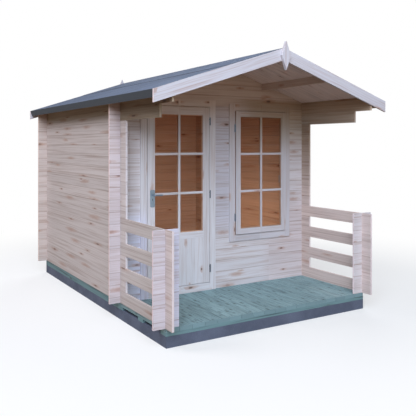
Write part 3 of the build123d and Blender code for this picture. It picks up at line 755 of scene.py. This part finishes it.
def beam_run(name, axis):
    """Grain of bearers, sills, purlins and fascias along X or Y."""
    @grain_run(name, "First Board", ends=True)
    def run(s, position, normal, first_board):
        parts = s.split(position)
        other = parts[1 - axis]
        board = s.math("FLOOR", s.times(other, 3.0))
        across = s.plus(other, parts[2])
        return parts[axis], across, s.plus(board, first_board), face_mask(s, normal, axis)
    return run


cross_beam_run = beam_run("Cross beam run", 0)
long_beam_run = beam_run("Long beam run", 1)

PINE = (PINE_PALE, PINE_STREAK, PINE_BLUSH, PINE_HEART)
SIDE_PINE = (SIDE_PALE, SIDE_STREAK, PINE_BLUSH, PINE_HEART)
ROOF_SHADE_PINE = (ROOF_SHADE_PALE, PINE_STREAK, PINE_BLUSH, PINE_HEART)
TRIM = (TRIM_PALE, TRIM_STREAK, PINE_BLUSH, PINE_HEART)
PANEL_TRIM = (TRIM_PALE, PANEL_STREAK, PINE_BLUSH, PINE_HEART)
SASH_TRIM = (SASH_PALE, TRIM_STREAK, PINE_BLUSH, PINE_HEART)
WINDOW_TRIM = (WINDOW_FRAME_PALE, TRIM_STREAK, PINE_BLUSH, PINE_HEART)
BARGE = (BARGE_PALE, BARGE_STREAK, PINE_BLUSH, PINE_HEART)
TREATED = (TREATED_PALE, TREATED_STREAK, TREATED_BLUSH, TREATED_HEART)
BEARER = (BEARER_PALE, TREATED_STREAK, TREATED_BLUSH, TREATED_HEART)
FLOOR_PINE = (FLOOR_PALE, PINE_STREAK, PINE_BLUSH, PINE_HEART)


def roofing_felt():
    """Mineral-faced felt, with its plain dark hem where it turns down at the eaves."""
    material, s, surface = new_material("roofing felt")
    position, normal = object_place(s)
    marks = s.place(grit, Position=position, Grain_Size=0.004, Patch_Size=0.35)
    colour = s.blend(s.step(marks["Patches"], 0.35, 0.65), FELT_DARK, FELT_PALE)
    grains = s.step(marks["Grains"], 0.35, 0.75, 0.78, 1.22)
    colour = s.shade(colour, grains)
    upward = s.step(s.split(normal)[2], 0.3, 0.7)
    colour = s.blend(upward, FELT_HEM, colour)
    s.feed(surface.inputs["Base Color"], colour)
    s.feed(surface.inputs["Roughness"], s.step(marks["Grains"], 0.3, 0.7, 0.80, 0.95))
    bump(s, surface, marks["Grains"], 0.5, 0.0012)
    return material


def cast_slab():
    """Dark grey cast slab, cloudy and finely pitted."""
    material, s, surface = new_material("cast slab")
    position = object_place(s)[0]
    marks = s.place(grit, Position=position, Grain_Size=0.006, Patch_Size=0.22)
    colour = s.blend(s.step(marks["Patches"], 0.3, 0.7), SLAB_DARK, SLAB_PALE)
    grains = s.step(marks["Grains"], 0.3, 0.8, 0.88, 1.12)
    colour = s.shade(colour, grains)
    s.feed(surface.inputs["Base Color"], colour)
    s.feed(surface.inputs["Roughness"], s.step(marks["Patches"], 0.3, 0.7, 0.9, 0.78))
    bump(s, surface, marks["Grains"], 0.4, 0.001)
    return material


def satin_steel(name, colour, worn):
    """Satin steel with faint brushing."""
    material, s, surface = new_material(name)
    position = object_place(s)[0]
    x, y, z = s.split(position)
    brushed = s.noise(s.join(s.times(x, 900.0), s.times(y, 900.0), z), detail=1.0)
    marks = s.place(grit, Position=position, Grain_Size=0.002, Patch_Size=0.03)
    s.feed(surface.inputs["Base Color"], s.blend(s.times(marks["Patches"], 0.6), colour, worn))
    surface.inputs["Metallic"].default_value = 0.85
    s.feed(surface.inputs["Roughness"], s.step(brushed, 0.2, 0.8, 0.30, 0.46))
    return material


def keyhole_shade_sheet():
    """Painted shade for the inside of a keyhole, on a thin dark sheet."""
    material, s, surface = new_material("keyhole painted shade")
    position = object_place(s)[0]
    marks = s.place(grit, Position=position, Grain_Size=0.001, Patch_Size=0.01)
    s.feed(surface.inputs["Base Color"], s.blend(marks["Patches"], KEYHOLE_SHADE, KEYHOLE_SHADE_PATCH))
    surface.inputs["Roughness"].default_value = 0.8
    return material


def clear_glass():
    """Clear float glass that lets light through into the room."""
    material, s, surface = new_material("clear glass")
    s.feed(surface.inputs["Base Color"], GLASS_TINT)
    surface.inputs["Transmission Weight"].default_value = 1.0
    surface.inputs["IOR"].default_value = 1.12
    surface.inputs["Specular IOR Level"].default_value = 0.12
    position = object_place(s)[0]
    marks = s.place(grit, Position=position, Grain_Size=0.02, Patch_Size=0.3)
    s.feed(surface.inputs["Roughness"], s.step(marks["Patches"], 0.3, 0.8, 0.0, 0.02))
    path = s.add("ShaderNodeLightPath")
    passing = s.math("MAXIMUM", path.outputs["Is Shadow Ray"], path.outputs["Is Diffuse Ray"])
    clear = s.add("ShaderNodeBsdfTransparent")
    s.feed(clear.inputs["Color"], GLASS_SHADE)
    mixed = s.add("ShaderNodeMixShader")
    s.feed(mixed.inputs[0], passing)
    s.feed(mixed.inputs[1], surface.outputs[0])
    s.feed(mixed.inputs[2], clear.outputs[0])
    sink = material.node_tree.nodes["Material Output"]
    s.feed(sink.inputs["Surface"], mixed.outputs[0])
    return material


felt_finish = roofing_felt()
slab_finish = cast_slab()
steel_finish = satin_steel("satin steel", STEEL, STEEL_WORN)
hinge_finish = satin_steel("dark steel", DARK_STEEL, DARK_STEEL_WORN)
keyhole_shade_finish = keyhole_shade_sheet()
glass_finish = clear_glass()
trim_finish = timber("bargeboard pine", barge_run, BARGE, 0.3, tints=(), First_Board=310.0)
finial_finish = timber("finial pine", finial_run, BARGE, 0.0, tints=(), First_Board=330.0)
door_middle = (leaf_low[0] + leaf_high[0]) / 2
window_middle = (sash_low[0] + sash_high[0]) / 2
door_rail_half = (door_glass_high[0] - door_glass_low[0]) / 2 + 0.0003
window_rail_half = (window_glass_high[0] - window_glass_low[0]) / 2 + 0.0003
panel_pitch = (panel_high[0] - panel_low[0]) / PANEL_BOARD_COUNT
# Behind the glass the reveals take the room's warmer wood and painted shade; the inner faces are lifted back
door_reveal_wood_and_shade = (inward_of("Behind the door glass", door_glass_high[1]), REVEAL_WOOD_AND_SHADE_TINT)
leaf_inside = (inward_of("Inner face of the leaf", leaf_high[1] - 0.002), INSIDE_TINT)
panel_inside = (inward_of("Inner face of the panel", panel_high[1]), INSIDE_TINT)
window_reveal_wood_and_shade = (inward_of("Behind the window glass", window_glass_high[1]), ROOM_WOOD_AND_SHADE_TINT)
leaf_finish = timber(
    "door pine", joinery_run, TRIM, 0.25, tints=(PAINTED_EAVES_SHADE, door_reveal_wood_and_shade, leaf_inside),
    Middle=door_middle, Rail_Half=door_rail_half, First_Board=350.0)
panel_finish = timber(
    "door panel pine", upright_board_run, PANEL_TRIM, 0.6, tints=(door_reveal_wood_and_shade, panel_inside),
    Pitch=panel_pitch, Start=panel_low[0], First_Board=443.0)
sash_finish = timber(
    "sash pine", joinery_run, SASH_TRIM, 0.2, tints=(PAINTED_EAVES_SHADE, PAINTED_CORNER_SHADE, window_reveal_wood_and_shade),
    Middle=window_middle, Rail_Half=window_rail_half, First_Board=370.0)
door_frame_finish = timber(
    "door frame pine", joinery_run, TRIM, 0.3,
    tints=(PAINTED_EAVES_SHADE, (room_side, REVEAL_WOOD_AND_SHADE_TINT), (left_foot_light, FRAME_FOOT_LIGHT_TINT)),
    Middle=door_middle, Rail_Half=(leaf_high[0] - leaf_low[0]) / 2, First_Board=390.0)
window_frame_finish = timber(
    "window frame pine", joinery_run, WINDOW_TRIM, 0.3, tints=(PAINTED_EAVES_SHADE, PAINTED_CORNER_SHADE, ROOM_WOOD_AND_SHADE),
    Middle=window_middle, Rail_Half=(sash_high[0] - sash_low[0]) / 2, First_Board=410.0)
roof_finish = timber(
    "roof board pine", slope_run, ROOF_SHADE_PINE, tints=(ROOM_WOOD_AND_SHADE,),
    Pitch=ROOF_BOARD_PITCH, Start=roof_low[1], First_Board=500.0)
purlin_finish = timber("purlin pine", long_beam_run, PINE, 0.3, tints=(PAINTED_EAVES_SHADE, ROOM_WOOD_AND_SHADE), First_Board=560.0)
# Painted shade along the fascias, dark and warm under the eaves
fascia_shade_span = between_ends("Painted shade along the fascias", fascia_low[1], fascia_high[1])
fascia_finish = timber(
    "fascia pine", long_beam_run, PINE, 0.3, tints=((fascia_shade_span, FASCIA_SHADE_TINT),), First_Board=580.0)
deck_finish = timber(
    "treated deck", deck_run, TREATED, tone=0.16, roughness=0.75, end=TREATED_END,
    Pitch=DECK_BOARD_PITCH, Start=deck_low[0], First_Board=600.0, Finer=1.8)
cross_bearer_finish = timber(
    "treated cross bearer", cross_beam_run, BEARER, end=BEARER_PALE, First_Board=650.0)
side_bearer_finish = timber(
    "treated side bearer", long_beam_run, BEARER, end=BEARER_PALE, First_Board=670.0)
floor_finish = timber(
    "floor pine", deck_run, FLOOR_PINE, 0.4,
    Pitch=FLOOR_BOARD_PITCH, Start=floor_low[0], First_Board=700.0, Finer=1.0)

CAD_FINISHES = {
    "base_slab": slab_finish,
    "cross_bearers": cross_bearer_finish,
    "floor_joists": cross_bearer_finish,
    "side_bearers": side_bearer_finish,
    "sill_beams": side_bearer_finish,
    "ridge_purlin": purlin_finish,
    "side_purlins": purlin_finish,
    "eaves_fascias": fascia_finish,
    "left_roof_felt": felt_finish,
    "right_roof_felt": felt_finish,
    "ridge_felt": felt_finish,
    "front_bargeboards": trim_finish,
    "back_bargeboards": trim_finish,
    "front_finial": finial_finish,
    "back_finial": finial_finish,
    "door_frame": door_frame_finish,
    "door_leaf": leaf_finish,
    "door_panel": panel_finish,
    "window_frame": window_frame_finish,
    "window_sash": sash_finish,
    "door_glass": glass_finish,
    "window_glass": glass_finish,
    "door_hinge_pins": hinge_finish,
    "door_hinge_barrels": hinge_finish,
    "door_handle_plates": steel_finish,
    "door_levers": steel_finish,
    "window_hinges": hinge_finish,
    "window_catch": steel_finish,
}

# Each stack of logs with its first board number, its share of knots and its further tints, mostly painted
# shade or light
SIDE_LOG_NODES = {
    "left_wall_logs": (0.0, 0.7, (SIDE_JOINTS, (wall_head_shade, WALL_HEAD_SHADE_TINT))),
    "left_rail_logs": (0.0, 0.45, RAIL_LIGHT_AND_SHADE),
    # The eaves logs carry painted shade where they reach into the veranda, under the roof
    "left_eaves_logs": (0.0, 0.7, ((wall_head_shade, WALL_HEAD_SHADE_TINT), (veranda_side, LEFT_EAVES_SHADE_TINT))),
    "right_wall_logs": (40.0, 0.5, RETURN_JOINTS_LIGHT_AND_SHADE),
    "right_rail_logs": (40.0, 0.45, RAIL_LIGHT_AND_SHADE),
    "right_eaves_logs": (40.0, 0.5, ((veranda_side, RIGHT_EAVES_SHADE_TINT),)),
    "post_spacers": (80.0, 0.1, RAIL_LIGHT_AND_SHADE),
}
CROSS_LOG_NODES = {
    "front_gable": (120.0, 0.22, (PAINTED_CORNER_SHADE, (log_arm, ARM_TINT), (gable_head_shade, GABLE_HEAD_SHADE_TINT))),
    "back_wall_logs": (160.0, 0.25, ((log_arm, BACK_ARM_TINT),)),
    "back_gable": (160.0, 0.5, ((log_arm, BACK_ARM_TINT),)),
    # The left post's inner arms carry painted light, bluer and brighter
    "left_post_logs": (200.0, 0.2, ((log_arm, POST_TINT), (inner_arm, INNER_ARM_LIGHT_TINT))),
    "right_post_logs": (240.0, 0.2, ((log_arm, POST_TINT),)),
}


def finish_node(node, material):
    """Gives a CAD node its finish."""
    mesh = nodes[node].data
    mesh.materials.clear()
    mesh.materials.append(material)


for node, material in CAD_FINISHES.items():
    finish_node(node, material)
for node, (first_board, knots, more_tints) in SIDE_LOG_NODES.items():
    finish_node(node, timber(
        f"log pine {node}", side_log_run, SIDE_PINE, knots, tints=(PAINTED_EAVES_SHADE, ROOM_WOOD_AND_SHADE, *more_tints),
        end=SIDE_END, First_Board=first_board))
for node, (first_board, knots, more_tints) in CROSS_LOG_NODES.items():
    finish_node(node, timber(
        f"log pine {node}", cross_log_run, PINE, knots, tints=(PAINTED_EAVES_SHADE, ROOM_WOOD_AND_SHADE, CROSS_JOINTS, *more_tints),
        First_Board=first_board, Joint=NO_JOINT))
finish_node("front_wall_logs", timber(
    "log pine front_wall_logs", cross_log_run, PINE,
    tints=(PAINTED_EAVES_SHADE, ROOM_WOOD_AND_SHADE, CROSS_JOINTS, PAINTED_CORNER_SHADE, (window_strip_shade, STRIP_SHADE_TINT),
           (right_foot_shade, RIGHT_FOOT_SHADE_TINT), (left_foot_light, LEFT_FOOT_LIGHT_TINT), (log_arm, ARM_TINT)),
    First_Board=120.0, Joint=FRONT_WALL_JOINT))


def add_prism(mesh, near, far):
    """A closed bar between two matching rings of corners."""
    first = [mesh.verts.new(point) for point in near]
    second = [mesh.verts.new(point) for point in far]
    mesh.faces.new(list(reversed(first)))
    mesh.faces.new(second)
    for place in range(len(first)):
        after = (place + 1) % len(first)
        mesh.faces.new((first[place], first[after], second[after], second[place]))


def make_piece(name, mesh, material, body, replaced=()):
    """Turns a bmesh into a piece that rides on a body."""
    bmesh.ops.recalc_face_normals(mesh, faces=mesh.faces)
    data = bpy.data.meshes.new(name)
    mesh.to_mesh(data)
    mesh.free()
    data.materials.append(material)
    piece = bpy.data.objects.new(name, data)
    bpy.context.scene.collection.objects.link(piece)
    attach(piece, body)
    if replaced:
        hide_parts(*replaced)


def board_section(width, depth, chamfer, back_chamfer=0.0):
    """Section of a board with its face edges, and perhaps its back edges, eased."""
    back = [(0.0, 0.0), (width, 0.0)]
    if back_chamfer:
        back = [(0.0, back_chamfer), (back_chamfer, 0.0), (width - back_chamfer, 0.0), (width, back_chamfer)]
    face = [(width, depth - chamfer), (width - chamfer, depth), (chamfer, depth), (0.0, depth - chamfer)]
    return back + face


def deck_boards():
    """Boards of the veranda deck, with ends that differ by a hair."""
    mesh = bmesh.new()
    section = board_section(DECK_BOARD_PITCH - DECK_GAP, deck_high[2] - deck_low[2], DECK_CHAMFER)
    for board in range(DECK_BOARD_COUNT):
        x = deck_low[0] + board * DECK_BOARD_PITCH
        front = deck_low[1] + chance.uniform(0.0, DECK_END_PLAY)
        near = [(x + u, front, deck_low[2] + v) for u, v in section]
        far = [(x + u, deck_high[1], deck_low[2] + v) for u, v in section]
        add_prism(mesh, near, far)
    make_piece("deck_boards", mesh, deck_finish, "cabin", ["veranda_deck"])


def floor_boards():
    """Boards of the cabin floor."""
    mesh = bmesh.new()
    count = round((floor_high[0] - floor_low[0]) / FLOOR_BOARD_PITCH)
    pitch = (floor_high[0] - floor_low[0]) / count
    section = board_section(pitch - BOARD_GAP, floor_high[2] - floor_low[2], FLOOR_CHAMFER)
    for board in range(count):
        x = floor_low[0] + board * pitch
        near = [(x + u, floor_low[1], floor_low[2] + v) for u, v in section]
        far = [(x + u, floor_high[1], floor_low[2] + v) for u, v in section]
        add_prism(mesh, near, far)
    make_piece("floor_boards", mesh, floor_finish, "cabin", ["cabin_floor"])


def roof_boards(side, node):
    """Boards of one slope, square at the eaves, with V joints on the underside."""
    mesh = bmesh.new()
    low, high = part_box(node)
    count = round((high[1] - low[1]) / ROOF_BOARD_PITCH)
    pitch = (high[1] - low[1]) / count
    rise = ROOF_BOARD / math.cos(ROOF_PITCH)
    edge = max(abs(low[0]), abs(high[0]))
    ridge = min(abs(low[0]), abs(high[0]))
    section = board_section(pitch - BOARD_GAP, rise, 0.0, ROOF_V_JOINT)
    for board in range(count):
        start = low[1] + board * pitch
        rings = []
        for x, square_cut in ((ridge, 0.0), (edge, math.sin(ROOF_PITCH) * math.cos(ROOF_PITCH))):
            ring = []
            for u, v in section:
                spot = x - (rise - v) * square_cut
                underside = high[2] - rise - (spot - ridge) * ROOF_SLOPE
                ring.append((side * spot, start + u, underside + v))
            rings.append(ring)
        add_prism(mesh, *rings)
    bmesh.ops.remove_doubles(mesh, verts=mesh.verts, dist=1e-7)
    name = node.replace("roof_boards", "roof_boarding")
    make_piece(name, mesh, roof_finish, "cabin", [node])


def glazing_beads(name, low, high, back, finish, body):
    """Sloping beads round the edge of the glass, on the inner face."""
    mesh = bmesh.new()
    bead = [(0.0, high[1]), (BEAD_WIDTH, high[1]), (0.0, back - BEAD_RECESS)]
    for x, inward in ((low[0], 1), (high[0], -1)):
        near = [(x + inward * u, v, low[2]) for u, v in bead]
        far = [(x + inward * u, v, high[2]) for u, v in bead]
        add_prism(mesh, near, far)
    for z, inward in ((low[2], 1), (high[2], -1)):
        near = [(low[0], v, z + inward * u) for u, v in bead]
        far = [(high[0], v, z + inward * u) for u, v in bead]
        add_prism(mesh, near, far)
    make_piece(name, mesh, finish, body)


def circle(radius, sides):
    """Corners of a flat ring."""
    turns = [2 * math.pi * corner / sides for corner in range(sides)]
    return [(radius * math.cos(turn), radius * math.sin(turn)) for turn in turns]


def deck_screws():
    """Two screws in each deck board over each bearer."""
    mesh = bmesh.new()
    head = circle(DECK_SCREW_RADIUS, 10)
    lines = [deck_low[1] + 0.05, (deck_low[1] + deck_high[1]) / 2, deck_high[1] - 0.022]
    for board in range(DECK_BOARD_COUNT):
        for share in DECK_SCREW_SHARES:
            x = deck_low[0] + (board + share) * DECK_BOARD_PITCH
            x += chance.uniform(-DECK_SCREW_PLAY, DECK_SCREW_PLAY)
            for y in lines:
                rim = [(x + u, y + v, deck_high[2] - 0.0003) for u, v in head]
                dome = [(x + 0.72 * u, y + 0.72 * v, deck_high[2] + 0.0004) for u, v in head]
                add_prism(mesh, rim, dome)
    make_piece("deck_screws", mesh, steel_finish, "cabin")


def plate_details():
    """Keyholes and screws of the door handle plates."""
    middle = (plate_low[0] + plate_high[0]) / 2
    holes = bmesh.new()
    screws = bmesh.new()
    key_z = plate_low[2] + KEYHOLE_RISE
    key_round = [(u, v + KEYHOLE_ROUND_RISE) for u, v in circle(KEYHOLE_ROUND_RADIUS, 14)]
    head = circle(PLATE_SCREW_RADIUS, 12)
    for y, outward in ((plate_low[1], -1), (plate_high[1], 1)):
        inner = y - outward * KEYHOLE_SINK
        outer = inner + outward * KEYHOLE_THICKNESS
        for outline in (key_round, KEYHOLE_SLOT):
            rings = [[(middle + u, depth, key_z + v) for u, v in outline] for depth in (inner, outer)]
            add_prism(holes, *rings)
        for z in (plate_low[2] + PLATE_SCREW_INSET, plate_high[2] - PLATE_SCREW_INSET):
            rim = [(middle + u, y - outward * 0.0003, z + v) for u, v in head]
            dome = [(middle + 0.7 * u, y + outward * 0.0008, z + 0.7 * v) for u, v in head]
            add_prism(screws, rim, dome)
    make_piece("door_keyholes", holes, keyhole_shade_finish, "door")
    make_piece("door_plate_screws", screws, steel_finish, "door")


deck_boards()
floor_boards()
roof_boards(1, "right_roof_boards")
roof_boards(-1, "left_roof_boards")
glazing_beads("door_beads", door_glass_low, door_glass_high, leaf_high[1], leaf_finish, "door")
glazing_beads("window_beads", window_glass_low, window_glass_high, sash_high[1], sash_finish, "cabin")
deck_screws()
plate_details()


def studio_floor():
    """A plain pale floor that keeps the cabin's shadow."""
    size = 60.0
    mesh = bmesh.new()
    corners = [(-size, -size, 0.0), (size, -size, 0.0), (size, size, 0.0), (-size, size, 0.0)]
    mesh.faces.new([mesh.verts.new(corner) for corner in corners])
    data = bpy.data.meshes.new("studio_floor")
    mesh.to_mesh(data)
    mesh.free()
    material, s, surface = new_material("studio floor")
    path = s.add("ShaderNodeLightPath")
    seen = s.math("MAXIMUM", path.outputs["Is Camera Ray"], path.outputs["Is Glossy Ray"])
    seen = s.math("MAXIMUM", seen, path.outputs["Is Transmission Ray"])
    position = object_place(s)[0]
    x, y = s.split(position)[:2]
    far = s.step(s.oval(x, y, 1.0, 1.0), 2.0, 5.5, 0.5, 1.0)
    s.feed(surface.inputs["Base Color"], s.blend(seen, STUDIO_BOUNCE, STUDIO_SEEN))
    surface.inputs["Roughness"].default_value = 0.9
    surface.inputs["Specular IOR Level"].default_value = 0.0
    white = s.add("ShaderNodeEmission")
    mixed = s.add("ShaderNodeMixShader")
    s.feed(mixed.inputs[0], s.times(seen, far))
    s.feed(mixed.inputs[1], surface.outputs[0])
    s.feed(mixed.inputs[2], white.outputs[0])
    s.feed(material.node_tree.nodes["Material Output"].inputs["Surface"], mixed.outputs[0])
    data.materials.append(material)
    floor = bpy.data.objects.new("studio_floor", data)
    bpy.context.scene.collection.objects.link(floor)


def studio_world():
    """Even soft light all round, and a white background behind the cabin."""
    world = bpy.data.worlds.new("studio")
    bpy.context.scene.world = world
    world.use_nodes = True
    s = Shader(world.node_tree)
    back = world.node_tree.nodes["Background"]
    path = s.add("ShaderNodeLightPath")
    seen = s.math("MAXIMUM", path.outputs["Is Camera Ray"], path.outputs["Is Transmission Ray"])
    s.feed(back.inputs["Color"], s.blend(seen, SKY_LIGHT, SKY_SEEN))
    s.feed(back.inputs["Strength"], s.math("MULTIPLY_ADD", seen, 0.90, 0.10))


def softbox(name, place, target, size, power, colour, spread=math.pi):
    """A soft lamp of a width and height, aimed at a point."""
    lamp = bpy.data.lights.new(name, "AREA")
    lamp.shape = "RECTANGLE"
    lamp.size, lamp.size_y = size
    lamp.energy = power
    lamp.color = colour
    lamp.spread = spread
    holder = bpy.data.objects.new(name, lamp)
    bpy.context.scene.collection.objects.link(holder)
    holder.visible_camera = False
    holder.location = place
    direction = holder.location - type(holder.location)(target)
    holder.rotation_euler = direction.to_track_quat("Z", "Y").to_euler()


def photograph_camera():
    """The camera at the photograph's place: level, turned to the right, and shifted down."""
    camera = bpy.data.cameras.new("camera")
    camera.sensor_width = 36.0
    camera.lens = CAMERA_LENS
    camera.shift_y = CAMERA_SHIFT
    camera.clip_end = 200.0
    holder = bpy.data.objects.new("camera", camera)
    bpy.context.scene.collection.objects.link(holder)
    holder.location = CAMERA_PLACE
    holder.rotation_euler = (math.radians(90.0), 0.0, CAMERA_TURN)
    bpy.context.scene.camera = holder


studio_floor()
studio_world()
softbox("front softbox", (-6.3, -10.4, 8.8), (0.0, -0.7, 1.0), (11.0, 11.0), 2650.0, (0.77, 0.86, 1.0))
softbox("left softbox", (-7.5, 1.5, 9.2), (-1.1, 0.5, 1.2), (5.0, 5.0), 480.0, (1.0, 0.90, 0.87))
softbox("back softbox", (7.5, 8.5, 4.7), (0.5, 0.8, 1.2), (8.0, 2.4), 800.0, (0.94, 0.96, 1.0))
softbox("low front softbox", (0.6, -9.0, 1.4), (0.0, -0.7, 1.6), (2.6, 2.6), 60.0, (1.0, 0.90, 0.80))
softbox("room lamp", (-0.4, -0.45, 0.50), (1.1, 0.9, 0.45), (0.5, 0.5), 11.3, (1.0, 0.88, 0.74), 2.4)
photograph_camera()
bpy.context.scene.view_settings.view_transform = "Standard"
